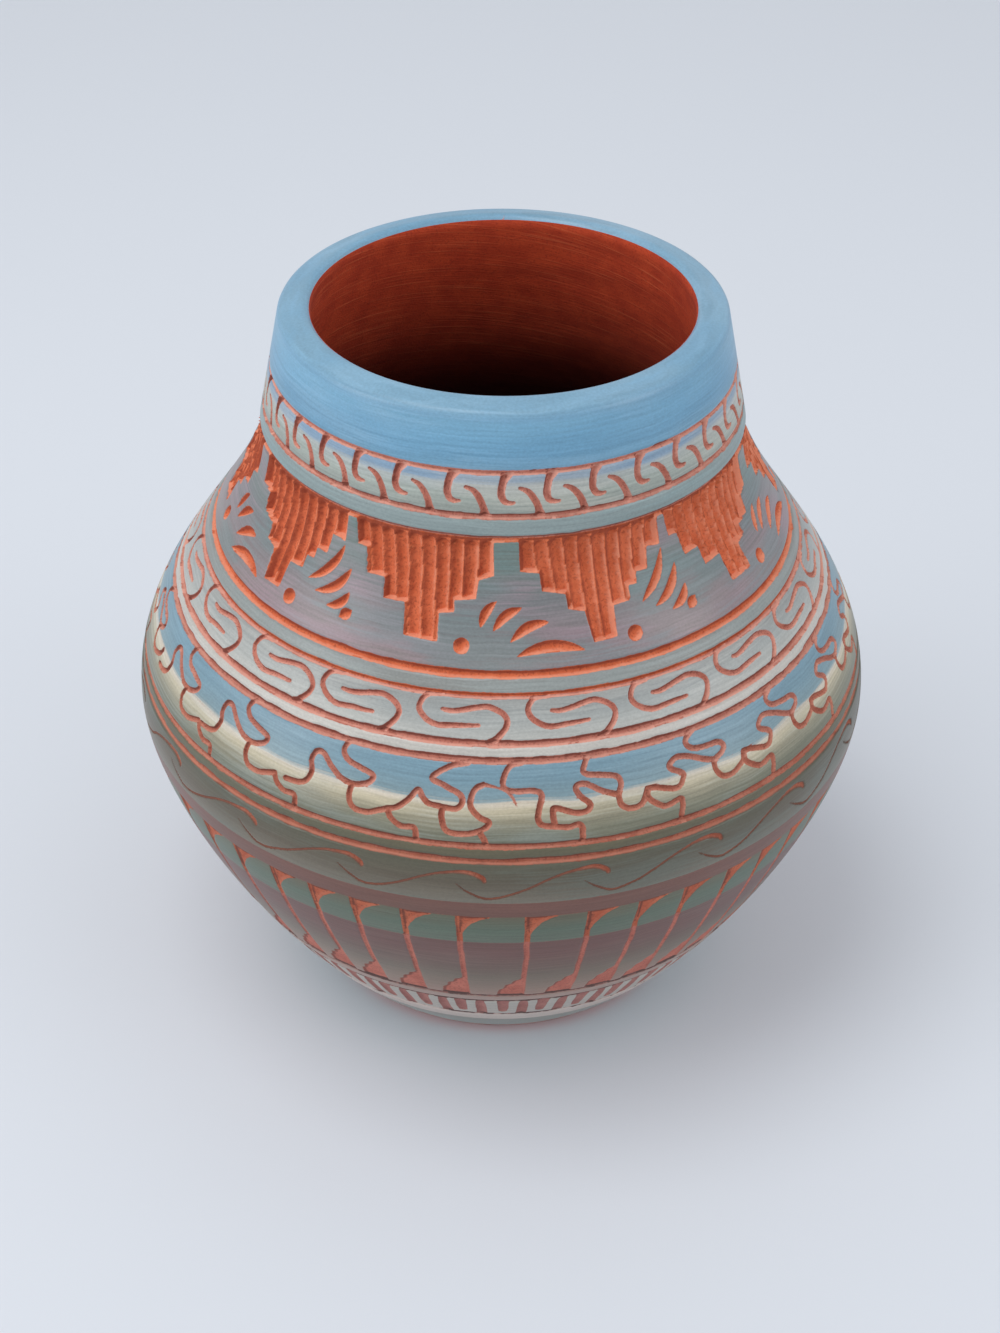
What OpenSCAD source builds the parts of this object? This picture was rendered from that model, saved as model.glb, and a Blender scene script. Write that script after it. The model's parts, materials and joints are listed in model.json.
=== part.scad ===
// Hand-built red-clay jar with bands of matt colour, cut through to the clay by turned rings
// and by a row of stepped pendants. Millimetres, foot on z = 0, axis along Z.

/* [Wall] */
// Radius of the wall where it leaves the foot
foot_r = 34; // [30:0.5:38]
// Height of the widest point above the foot
belly_h = 62.7; // [57:0.1:70]
// Radius at the widest point
belly_r = 67.5; // [62:0.5:74]
// Height from the widest point to the base of the neck
shoulder_h = 51.6; // [48:0.1:58]
// Radius at the base of the neck
neck_r = 43.1; // [40:0.1:47]
// Height from the base of the neck to the top of the lip
neck_h = 23.8; // [22:0.1:29]
// Radius that the neck leans in to at the top of the lip
lip_r = 38.3; // [36:0.1:42]
// Thickness of the wall, coat included
wall = 5.8; // [4.8:0.1:6.8]
// Fall of the lip's top face towards the outside, in degrees
lip_slope = 11; // [0:1:20]
// Radius of the lip's round edges
lip_edge = 1.6; // [1:0.1:2]
// Thickness of the floor inside
floor_t = 7; // [5:0.1:9]
// Bevel round the edge of the flat foot
foot_bevel = 1.2; // [0.8:0.1:2]

/* [Curve of the wall] */
// Lean of the wall from upright where it leaves the foot, in degrees
foot_lean = 44; // [38:1:48]
// Reach of the curve above the foot
foot_pull = 29.8; // [22:0.1:34]
// Reach of the curve below the widest point
flank_pull = 10.2; // [7:0.1:16]
// Reach of the curve above the widest point
belly_pull = 20.6; // [14:0.1:24]
// Reach of the curve below the base of the neck
neck_pull = 16.8; // [12:0.1:20]

/* [Luted joints] */
// Height of the lap between two clay sections
lap_h = 3; // [2:0.1:4]

/* [Coats] */
// Thickness of each coat of colour
coat = 0.4; // [0.25:0.05:0.5]
// Blue band, from the top of the lip down
neck_band = 10.4; // [8:0.1:12]
// How far the blue coat turns round the lip's inner edge, in degrees from level
lip_wrap = 150; // [100:1:165]
// Band of running hooks
hook_band = 7.3; // [5:0.1:9]
// Pale line under the hooks
collar_line = 3.7; // [2.5:0.1:5]
// Pale line under the wide ring
shoulder_line = 2.8; // [2:0.1:4]
// Band of key frets
key_band = 6.4; // [5:0.1:8]
// White line under the frets
white_line = 2.3; // [2:0.1:4]
// Sky-blue band
sky_band = 6.1; // [4:0.1:8]
// Cream band
cream_band = 7; // [5:0.1:9]
// Dark green line
sage_line = 2.7; // [2:0.1:4]
// Scroll band above the widest point
scroll_rise = 6.8; // [5:0.1:9]
// Scroll band below the widest point
scroll_fall = 1.8; // [1:0.1:4]
// Mauve line
mauve_line = 3.7; // [2:0.1:5]
// Green tops of the feather panels
crown_band = 7.9; // [5:0.1:10]
// Pale line under the feather panels
foot_line = 3; // [2:0.1:4]
// Band of short ticks
tick_band = 8.7; // [6:0.1:11]
// White ring above the foot
white_ring = 4.7; // [3:0.1:6]
// Coat of the foot, measured from the ground
foot_band = 10.3; // [8:0.1:12]
// Bare clay left between the ground and the foot's coat
foot_bare = 1.5; // [1:0.1:3]

/* [Cut rings] */
// Width of a plain cut ring, which is half as deep
ring_w = 1.1; // [0.9:0.05:1.4]
// Width of the wide ring below the pendants
wide_ring_w = 1.7; // [1.2:0.05:2]
// Width of the fine rings on the lower half
fine_ring_w = 0.9; // [0.85:0.05:1.2]

/* [Stepped pendants] */
// Pendants round the shoulder
pendants = 10; // [6:1:14]
// Steps on each side of a pendant, the tip included
pendant_steps = 4; // [2:1:6]
// Bare width left between two pendants at the top, in degrees
pendant_gap = 4; // [2:0.5:8]
// Width of a pendant's tip, in degrees
tip_w = 6; // [3:0.5:8]
// Length of the tip below the last step
tip_drop = 5; // [3:0.1:6]
// Height left between the tips and the wide ring
tip_clear = 3.2; // [2.5:0.1:5]
// Depth of the pendants below the face of the coat
pendant_depth = 1; // [0.7:0.05:1.4]

/* [Hidden] */
$fn = 96;
height = belly_h + shoulder_h + neck_h;
neck_z = belly_h + shoulder_h;
// Inward lean of the neck, in degrees
neck_lean = atan((neck_r - lip_r) / neck_h);
// Centres of the lip's inner and outer round edges, and the height at which the outer one starts
lip_in = under(height - lip_edge + (wall - lip_edge) * sin(neck_lean), wall - lip_edge);
lip_top_w = (wall - 2 * lip_edge) / cos(neck_lean + lip_slope);
lip_out = lip_in + lip_top_w * [cos(lip_slope), -sin(lip_slope)];
lip_z = lip_out.y + lip_edge * sin(neck_lean);
// Depth of the step in a luted lap, halfway through the clay
lap_depth = (coat + wall) / 2;
// Greatest height of one straight facet of the wall, and turn of one facet of the lip
facet = 2.5;
lip_facet = 15;
// How far a cut runs past the face that it opens
past = 2;

// Boundaries of the coats, from the ground up
z_foot = foot_band;
z_white = z_foot + white_ring;
z_tick = z_white + tick_band;
z_foot_line = z_tick + foot_line;
z_mauve = belly_h - scroll_fall;
z_crown = z_mauve - mauve_line;
z_feather = z_crown - crown_band;
z_scroll = belly_h + scroll_rise;
z_sage = z_scroll + sage_line;
z_cream = z_sage + cream_band;
z_sky = z_cream + sky_band;
z_white_line = z_sky + white_line;
z_key = z_white_line + key_band;
z_shoulder_line = z_key + shoulder_line;
z_neck = height - neck_band;
z_hook = z_neck - hook_band;
z_collar = z_hook - collar_line;
edges = [
  foot_bare, z_foot, z_white, z_tick, z_foot_line, z_feather, z_crown, z_mauve, z_scroll, z_sage,
  z_cream, z_sky, z_white_line, z_key, z_shoulder_line, z_collar, z_hook, z_neck, lip_z
];
rings = [
  [z_neck, ring_w], [z_hook, ring_w], [z_collar, ring_w], [z_shoulder_line, wide_ring_w],
  [z_key, ring_w], [z_white_line, ring_w], [z_sky, ring_w], [z_sage, ring_w], [z_scroll, ring_w],
  [z_crown, fine_ring_w], [z_foot_line, fine_ring_w], [z_tick, fine_ring_w], [z_white, fine_ring_w]
];
pendant_top_w = 360 / pendants - pendant_gap;
step_drop = (z_collar - z_shoulder_line - tip_clear - tip_drop) / (pendant_steps - 1);

// Two curves make the wall below the neck, each from four points of radius and height
flank = [
  [foot_r, 0],
  [foot_r + foot_pull * sin(foot_lean), foot_pull * cos(foot_lean)],
  [belly_r, belly_h - flank_pull],
  [belly_r, belly_h]
];
shoulder = [
  [belly_r, belly_h],
  [belly_r, belly_h + belly_pull],
  [neck_r + neck_pull * sin(neck_lean), neck_z - neck_pull * cos(neck_lean)],
  [neck_r, neck_z]
];
function curve(p, t) =
  pow(1 - t, 3) * p[0] + 3 * pow(1 - t, 2) * t * p[1] + 3 * (1 - t) * t * t * p[2] + pow(t, 3) * p[3];
function heading(p, t) =
  pow(1 - t, 2) * (p[1] - p[0]) + 2 * (1 - t) * t * (p[2] - p[1]) + t * t * (p[3] - p[2]);

// Place along a curve that lies at height z, found by halving
halvings = 32;
function place(p, z, low = 0, high = 1, left = halvings) =
  let (mid = (low + high) / 2)
  left == 0 ? mid
  : curve(p, mid).y < z ? place(p, z, mid, high, left - 1)
  : place(p, z, low, mid, left - 1);

// Face of the wall at height z and the direction that the wall runs there
function face(z) =
  z >= neck_z ? [neck_r - (z - neck_z) * tan(neck_lean), z]
  : z >= belly_h ? curve(shoulder, place(shoulder, z))
  : curve(flank, place(flank, z));
function run(z) =
  z >= neck_z ? [-sin(neck_lean), cos(neck_lean)]
  : z >= belly_h ? heading(shoulder, place(shoulder, z))
  : heading(flank, place(flank, z));

// Point below the face of the wall, measured square to it
function under(z, depth) =
  let (d = run(z) / norm(run(z)))
  face(z) - depth * [d.y, -d.x];

// Heights from low to high in even steps, and the same through every coat edge between them
function even(low, high) =
  let (n = ceil((high - low) / facet))
  [for (i = [0:n - 1]) low + (high - low) * i / n];
function heights(low, high) =
  let (between = [for (e = edges) if (e > low && e < high) e])
  let (stops = concat([low], between, [high]))
  concat([for (i = [0:len(stops) - 2]) each even(stops[i], stops[i + 1])], [high]);
function turned_back(list) = [for (i = [len(list) - 1:-1:0]) list[i]];
function line_at(depth, low, high) = [for (z = heights(low, high)) under(z, depth)];

// Arc of one edge of the lip between two turns, and the lip from the face of the neck to a turn
function edge_arc(centre, r, from, to) =
  let (n = ceil((to - from) / lip_facet))
  [for (i = [0:n])
    let (a = from + (to - from) * i / n)
    centre + r * [cos(a), sin(a)]];
function lip_line(r, to) =
  let (top = 90 - lip_slope)
  concat(edge_arc(lip_out, r, neck_lean, top), edge_arc(lip_in, r, top, to));

// Edge of a luted lap: square through the outer half of the wall, a step up, then flat
function lap(z) =
  let (top = under(z + lap_h, lap_depth))
  [under(z, coat), under(z, lap_depth), top, [0, top.y]];

module ring_cuts(low, high) {
  for (ring = rings)
    if (ring[0] > low - past && ring[0] < high + past)
      translate(face(ring[0])) circle(d = ring[1]);
}

module hollow() {
  intersection() {
    polygon(concat([[0, 0]], line_at(wall, 0, lip_z), [under(height + wall, wall), [0, height + wall]]));
    translate([0, floor_t]) square([belly_r, height]);
  }
}

// Clay between two edges: an outer line, the lap above and the lap below
module clay(outline, low, high) {
  rotate_extrude()
    difference() {
      polygon(outline);
      ring_cuts(low, high);
      hollow();
    }
}

module coat_ring(low, high) {
  rotate_extrude()
    difference() {
      polygon(concat(line_at(0, low, high), turned_back(line_at(coat, low, high))));
      ring_cuts(low, high);
    }
}

// Steps of a pendant share one set of levels, from the cut's open top down to the tip
function level(k) =
  k == 0 ? z_collar + ring_w
  : k < pendant_steps ? z_collar - k * step_drop
  : z_collar - (k - 1) * step_drop - tip_drop;
function level_line(depth, k) = [for (j = [k:-1:0]) under(level(j), depth)];

module pendant_cuts() {
  for (i = [0:pendants - 1])
    for (k = [1:pendant_steps]) {
      share = (pendant_steps - k) / (pendant_steps - 1);
      w = tip_w + (pendant_top_w - tip_w) * share;
      rotate([0, 0, i * 360 / pendants - w / 2])
        rotate_extrude(angle = w)
          polygon(concat(level_line(-past, k), turned_back(level_line(pendant_depth, k))));
    }
}

module base() {
  flat_r = under(foot_bare, coat).x - foot_bevel;
  outline = concat([[0, 0], [flat_r, 0]], line_at(coat, foot_bare, z_foot), lap(z_foot));
  color("sienna") clay(outline, 0, z_foot);
}

module lower_wall() {
  outline = concat(line_at(coat, z_foot, z_scroll), lap(z_scroll), turned_back(lap(z_foot)));
  color("sienna") clay(outline, z_foot, z_scroll);
}

module shoulder_wall() {
  outline = concat(line_at(coat, z_scroll, z_collar), lap(z_collar), turned_back(lap(z_scroll)));
  color("sienna")
    difference() {
      clay(outline, z_scroll, z_collar);
      pendant_cuts();
    }
}

module neck_wall() {
  bare = edge_arc(lip_in, lip_edge, lip_wrap, 180 + neck_lean);
  lip = concat(lip_line(lip_edge - coat, lip_wrap), bare, [[0, bare[len(bare) - 1].y]]);
  outline = concat(line_at(coat, z_collar, lip_z), lip, turned_back(lap(z_collar)));
  color("sienna") clay(outline, z_collar, lip_z);
}

module neck_coat() {
  outer = concat(line_at(0, z_neck, lip_z), lip_line(lip_edge, lip_wrap));
  inner = concat(line_at(coat, z_neck, lip_z), lip_line(lip_edge - coat, lip_wrap));
  color("steelblue")
    rotate_extrude()
      difference() {
        polygon(concat(outer, turned_back(inner)));
        ring_cuts(z_neck, lip_z);
      }
}

module shoulder_coat() {
  color("slategray")
    difference() {
      coat_ring(z_shoulder_line, z_collar);
      pendant_cuts();
    }
}

module hook_coat() color("lightgray") coat_ring(z_hook, z_neck);
module collar_line_coat() color("lightsteelblue") coat_ring(z_collar, z_hook);
module shoulder_line_coat() color("lightsteelblue") coat_ring(z_key, z_shoulder_line);
module key_coat() color("lightblue") coat_ring(z_white_line, z_key);
module white_line_coat() color("white") coat_ring(z_sky, z_white_line);
module sky_coat() color("skyblue") coat_ring(z_cream, z_sky);
module cream_coat() color("cornsilk") coat_ring(z_sage, z_cream);
module sage_line_coat() color("darkseagreen") coat_ring(z_scroll, z_sage);
module scroll_coat() color("cadetblue") coat_ring(z_mauve, z_scroll);
module mauve_line_coat() color("rosybrown") coat_ring(z_crown, z_mauve);
module crown_coat() color("darkcyan") coat_ring(z_feather, z_crown);
module feather_coat() color("rosybrown") coat_ring(z_foot_line, z_feather);
module foot_line_coat() color("lightgray") coat_ring(z_tick, z_foot_line);
module tick_coat() color("linen") coat_ring(z_white, z_tick);
module white_ring_coat() color("white") coat_ring(z_foot, z_white);
module foot_coat() color("slategray") coat_ring(foot_bare, z_foot);

base();
lower_wall();
shoulder_wall();
neck_wall();
neck_coat();
hook_coat();
collar_line_coat();
shoulder_coat();
shoulder_line_coat();
key_coat();
white_line_coat();
sky_coat();
cream_coat();
sage_line_coat();
scroll_coat();
mauve_line_coat();
crown_coat();
feather_coat();
foot_line_coat();
tick_coat();
white_ring_coat();
foot_coat();
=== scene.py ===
import bmesh
import bpy
import json
import math
import numpy as np
from mathutils import Matrix, Vector

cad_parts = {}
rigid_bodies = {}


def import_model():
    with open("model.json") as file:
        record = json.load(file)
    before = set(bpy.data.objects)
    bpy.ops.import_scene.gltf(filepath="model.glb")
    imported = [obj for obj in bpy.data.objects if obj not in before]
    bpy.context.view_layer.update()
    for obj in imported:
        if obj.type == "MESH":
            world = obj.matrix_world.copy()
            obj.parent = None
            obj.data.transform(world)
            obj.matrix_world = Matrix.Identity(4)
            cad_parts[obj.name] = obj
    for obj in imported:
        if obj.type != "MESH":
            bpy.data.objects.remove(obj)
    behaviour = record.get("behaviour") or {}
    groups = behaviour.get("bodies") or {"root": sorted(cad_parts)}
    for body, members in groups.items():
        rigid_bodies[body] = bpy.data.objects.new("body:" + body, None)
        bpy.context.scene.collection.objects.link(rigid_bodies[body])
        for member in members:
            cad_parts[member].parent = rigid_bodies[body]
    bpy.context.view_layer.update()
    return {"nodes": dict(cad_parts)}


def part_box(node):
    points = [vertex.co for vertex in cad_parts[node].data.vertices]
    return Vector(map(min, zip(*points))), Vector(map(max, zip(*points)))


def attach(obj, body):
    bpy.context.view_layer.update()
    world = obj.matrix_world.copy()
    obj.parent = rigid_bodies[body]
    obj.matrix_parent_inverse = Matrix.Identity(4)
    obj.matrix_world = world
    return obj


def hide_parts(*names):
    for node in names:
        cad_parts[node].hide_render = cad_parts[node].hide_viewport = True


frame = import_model()
scene = bpy.context.scene
mm = 0.001
weld = 1e-6             # points nearer than this are one, in metres
print("frame loaded:", len(frame["nodes"]), "nodes")


# camera, at the photograph's viewing angle
view = {
    "place": (0.000205, -0.35078, 0.31336),
    "pitch": 35.737,      # degrees down
    "yaw": -0.0744,       # degrees to the right
    "roll": -0.335,
    "lens": 61.56,
    "sensor": 36,
}


def makeCamera():
    pitch, yaw, roll = [math.radians(view[key]) for key in ("pitch", "yaw", "roll")]
    camera = bpy.data.objects.new("camera", bpy.data.cameras.new("camera"))
    camera.data.lens = view["lens"]
    camera.data.sensor_width = view["sensor"]
    tilt = Matrix.Rotation(math.pi / 2 - pitch, 4, "X") @ Matrix.Rotation(-roll, 4, "Z")
    camera.matrix_world = Matrix.Translation(view["place"]) @ Matrix.Rotation(-yaw, 4, "Z") @ tilt
    scene.collection.objects.link(camera)
    scene.camera = camera


makeCamera()
print("camera placed")


# node trees: a wire is one socket, and sums on wires add Math nodes
class Wire:
    def __init__(self, sheet, socket):
        self.sheet = sheet
        self.socket = socket

    def math(self, operation, *others):
        sockets = dict(enumerate((self,) + others))
        return self.sheet.node("ShaderNodeMath", {"operation": operation}, sockets)

    def __add__(self, other):
        return self.math("ADD", other)

    def __sub__(self, other):
        return self.math("SUBTRACT", other)

    def __mul__(self, other):
        return self.math("MULTIPLY", other)

    def __truediv__(self, other):
        return self.math("DIVIDE", other)

    def __rsub__(self, other):
        return self.sheet.number(other).math("SUBTRACT", self)

    def __rtruediv__(self, other):
        return self.sheet.number(other).math("DIVIDE", self)

    __radd__ = __add__
    __rmul__ = __mul__

    def least(self, other):
        return self.math("MINIMUM", other)

    def most(self, other):
        return self.math("MAXIMUM", other)

    def below(self, other):
        return self.math("LESS_THAN", other)

    def above(self, other):
        return self.math("GREATER_THAN", other)

    def other(self, name):
        return Wire(self.sheet, self.socket.node.outputs[name])


class Sheet:
    def __init__(self, tree):
        self.tree = tree

    def node(self, kind, settings=None, sockets=None, out=0):
        made = self.tree.nodes.new(kind)
        for key, value in (settings or {}).items():
            if key == "stops":
                self.fillRamp(made.color_ramp, value)
            else:
                setattr(made, key, value)
        for key, value in (sockets or {}).items():
            if isinstance(value, Wire):
                self.tree.links.new(value.socket, made.inputs[key])
            else:
                made.inputs[key].default_value = value
        return Wire(self, made.outputs[out])

    def fillRamp(self, ramp, stops):
        while len(ramp.elements) < len(stops):
            ramp.elements.new(1.0)
        for element, (share, colour) in zip(ramp.elements, stops):
            element.position = share
            element.color = colour

    def number(self, value):
        made = self.tree.nodes.new("ShaderNodeValue")
        made.outputs[0].default_value = value
        return Wire(self, made.outputs[0])

    def split(self, vector):
        parts = self.node("ShaderNodeSeparateXYZ", sockets={0: vector})
        return parts, parts.other("Y"), parts.other("Z")

    def vector(self, x, y, z):
        return self.node("ShaderNodeCombineXYZ", sockets={0: x, 1: y, 2: z})

    def stretch(self, vector, factors):
        return self.node("ShaderNodeVectorMath", {"operation": "MULTIPLY"}, {0: vector, 1: factors})

    def between(self, first, second):
        return self.node("ShaderNodeVectorMath", {"operation": "SUBTRACT"}, {0: first, 1: second})

    def noise(self, vector, detail=2.0):
        # from 0 to 1, about 0.5
        sockets = {"Vector": vector, "Scale": 1.0, "Detail": detail}
        return self.node("ShaderNodeTexNoise", sockets=sockets)

    def mottle(self, vector, rate, detail=2.0):
        # noise at one rate, or at a rate for each axis
        rates = rate if isinstance(rate, tuple) else (rate, rate, rate)
        return self.noise(self.stretch(vector, rates), detail)

    def attribute(self, name):
        return self.node("ShaderNodeAttribute", {"attribute_name": name}, out="Fac")

    def ease(self, value, low, high):
        sockets = {"Value": value, "From Min": low, "From Max": high}
        return self.node("ShaderNodeMapRange", {"interpolation_type": "SMOOTHSTEP"}, sockets)

    def mix(self, share, first, second):
        return self.node("ShaderNodeMix", {"data_type": "RGBA"}, {0: share, 6: first, 7: second}, out=2)


def srgb(red, green, blue):
    # display colour, 0 to 255, as the linear colour that a node takes
    shares = [value / 255 for value in (red, green, blue)]
    linear = [s / 12.92 if s <= 0.04045 else ((s + 0.055) / 1.055) ** 2.4 for s in shares]
    return (*linear, 1.0)


# the turned wall, in millimetres: radius and height of a line from the foot, over the lip, to the floor
wall = {
    "footR": 34.0, "bellyR": 67.5, "bellyZ": 62.7, "neckR": 43.1, "neckZ": 114.3, "lipR": 38.3,
    "topZ": 138.1, "thick": 5.8, "lipEdge": 1.6, "lipSlope": 11.0, "floorZ": 7.0,
    "footLean": 44.0, "footPull": 29.8, "flankPull": 10.2, "bellyPull": 20.6, "neckPull": 16.8,
    "innerFootR": 32.7, "innerFootPull": 22.0, "innerPull": 0.85, "floorPull": 0.2,
    "lineSteps": 64,
}
neckLean = math.atan2(wall["neckR"] - wall["lipR"], wall["topZ"] - wall["neckZ"])
lipSlope = math.radians(wall["lipSlope"])


def arcHandle(turn):
    # Bezier handle of an arc, in radii
    return 4 / 3 * math.tan(turn / 4)


def heading(lean):
    return np.array((math.sin(lean), math.cos(lean)))


def wallKnots():
    up, rise, flare = heading(-neckLean), heading(0), heading(math.radians(wall["footLean"]))
    out = np.array((up[1], -up[0]))
    foot = np.array((wall["footR"], 0.0))
    belly = np.array((wall["bellyR"], wall["bellyZ"]))
    neck = np.array((wall["neckR"], wall["neckZ"]))
    thick, edge = wall["thick"], wall["lipEdge"]
    # the lip's top face falls outwards between two round edges
    topNormal = heading(lipSlope)
    topRun = np.array((-topNormal[1], topNormal[0]))
    faceZ = wall["topZ"] - edge + (thick - edge) * out[1]
    centreIn = neck + up * (faceZ - wall["neckZ"]) / up[1] - (thick - edge) * out
    centreOut = centreIn - topRun * (thick - 2 * edge) / math.cos(neckLean + lipSlope)
    lip, brow = centreOut + edge * out, centreOut + edge * topNormal
    rim, lipEnd = centreIn + edge * topNormal, centreIn - edge * out
    bendOut = edge * arcHandle(math.pi / 2 - lipSlope - neckLean)
    bendIn = edge * arcHandle(math.pi / 2 + lipSlope + neckLean)
    third, topThird = (lip - neck) / 3, (rim - brow) / 3
    neckIn = neck - thick * out
    thirdIn = (neckIn - lipEnd) / 3
    bellyIn = belly - (thick, 0)
    floorEdge = np.array((wall["innerFootR"], wall["floorZ"]))
    centre = np.array((0.0, wall["floorZ"]))
    ease = wall["innerPull"]
    return [
        (foot, foot, foot + wall["footPull"] * flare),
        (belly, belly - wall["flankPull"] * rise, belly + wall["bellyPull"] * rise),
        (neck, neck - wall["neckPull"] * up, neck + third),
        (lip, lip - third, lip + bendOut * up),
        (brow, brow - bendOut * topRun, brow + topThird),
        (rim, rim - topThird, rim + bendIn * topRun),
        (lipEnd, lipEnd + bendIn * up, lipEnd + thirdIn),
        (neckIn, neckIn - thirdIn, neckIn - wall["neckPull"] * up),
        (bellyIn, bellyIn + ease * wall["bellyPull"] * rise, bellyIn - ease * wall["flankPull"] * rise),
        (floorEdge, floorEdge + wall["innerFootPull"] * flare, floorEdge * (1 - wall["floorPull"], 1)),
        (centre, floorEdge * (wall["floorPull"], 1), centre),
    ]


def measureWall(knots, steps=400):
    # running length, radius and height along the line, and the length at each knot
    t = np.linspace(0, 1, steps)[:, None]
    u = 1 - t
    line = []
    for (first, _, pull), (last, push, _) in zip(knots, knots[1:]):
        line.append(u ** 3 * first + 3 * t * u ** 2 * pull + 3 * t ** 2 * u * push + t ** 3 * last)
    line = np.concatenate(line)
    length = np.concatenate(([0], np.cumsum(np.hypot(*np.diff(line, axis=0).T))))
    atKnots = [length[min(k * steps, len(length) - 1)] for k in range(len(knots))]
    return length, line[:, 0], line[:, 1], atKnots


knots = wallKnots()
wallLength, wallR, wallZ, knotLength = measureWall(knots)
lipStart, rimStart, lipFinish = knotLength[3], knotLength[5], knotLength[6]
outside = wallLength <= lipStart
inside = wallLength >= lipFinish


def lengthAt(z):
    return float(np.interp(z, wallZ[outside], wallLength[outside]))


def lengthInside(z):
    return float(np.interp(-z, -wallZ[inside], wallLength[inside]))


def radiusAt(length):
    return float(np.interp(length, wallLength, wallR))


helpers = bpy.data.collections.new("helpers")
scene.collection.children.link(helpers)


def asHelper(name, data):
    made = bpy.data.objects.new(name, data)
    helpers.objects.link(made)
    return made


def wallCurve():
    data = bpy.data.curves.new("wallLine", "CURVE")
    data.dimensions = "3D"
    data.resolution_u = wall["lineSteps"]
    spline = data.splines.new("BEZIER")
    spline.bezier_points.add(len(knots) - 1)
    for point, (place, before, after) in zip(spline.bezier_points, knots):
        point.handle_left_type = "FREE"
        point.handle_right_type = "FREE"
        point.co = (place[0], 0, place[1])
        point.handle_left = (before[0], 0, before[1])
        point.handle_right = (after[0], 0, after[1])
    return asHelper("wallLine", data)


wallLine = wallCurve()
print("wall line:", round(lipStart, 1), "mm from foot to lip")


# flat patterns: strokes are cut lines with a half width, patches are cut fields
def strokeCurves(name, strokes, degree, top):
    data = bpy.data.curves.new(name, "CURVE")
    data.dimensions = "3D"
    for points, halves in strokes:
        spline = data.splines.new("POLY")
        spline.points.add(len(points) - 1)
        widths = [halves] * len(points) if isinstance(halves, float) else halves
        for point, (turn, down), half in zip(spline.points, points, widths):
            point.co = (turn * degree, top - down, 0, 1)
            point.radius = half
    return asHelper(name, data)


def patchMesh(name, patches, degree, top):
    data = bpy.data.meshes.new(name)
    shape = bmesh.new()
    for outline in patches:
        shape.faces.new([shape.verts.new((turn * degree, top - down, 0)) for turn, down in outline])
    shape.to_mesh(data)
    shape.free()
    return asHelper(name, data)


farAway = -900.0        # where a band with no marks keeps its one unused mark
noStroke = [([(farAway, 0), (farAway, 1)], 0.01)]
noPatch = [[(farAway, 0), (farAway, 1), (farAway + 1, 0)]]


def leaf(start, end, bow, half, last=6, tip=0.08, fullness=0.8):
    # a lens-shaped gouge, bowed to its right
    points = []
    halves = []
    for k in range(last + 1):
        t = k / last
        swell = math.sin(math.pi * t)
        points.append([a + (b - a) * t + c * swell for a, b, c in zip(start, end, bow)])
        halves.append(tip + half * swell ** fullness)
    return points, halves


def dot(turn, down, half, run=0.1):
    return [(turn, down - run), (turn, down + run)], half


# one tree carves every band: a shell between two levels, cut by rings, strokes and patches
bandInputs = {
    "Object": ["wall", "strokes", "patches", "flutes"],
    "Material": ["material"],
    "Int": ["columns", "rows", "backRows", "units", "seed"],
    "Float": ["from", "to", "degree", "first", "topRing", "lowRing", "skin", "thick", "strokeDepth",
              "patchDepth", "fluteShare", "ringDepth", "ringSway", "drift", "wander", "scrape"],
}
# the cutter's hand, in millimetres, shares and noise rates per millimetre
hand = {
    "spare": 2, "driftUp": 0.4, "driftTurn": 0.02, "leastHalf": 0.005, "strokeCurve": 1.4,
    "strokeMost": 0.8, "onField": 0.0005, "fluteReach": 1.2, "borderShows": (0.8, 0.2),
    "leastBorder": 0.01, "borderShade": 1.4, "borderSlope": 0.35, "hoop": 5, "hoopRise": 0.7,
    "hoopFine": 3, "ringVary": 0.7, "ringReach": 1.1, "ringCurve": 4.0, "ringMost": 1.0,
    "chatterRate": 1.4, "chatter": 0.5, "clear": 3.0, "scrapeRates": (0.03, 0.2), "scrapeGrows": (0.5, 6.0),
}


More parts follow.
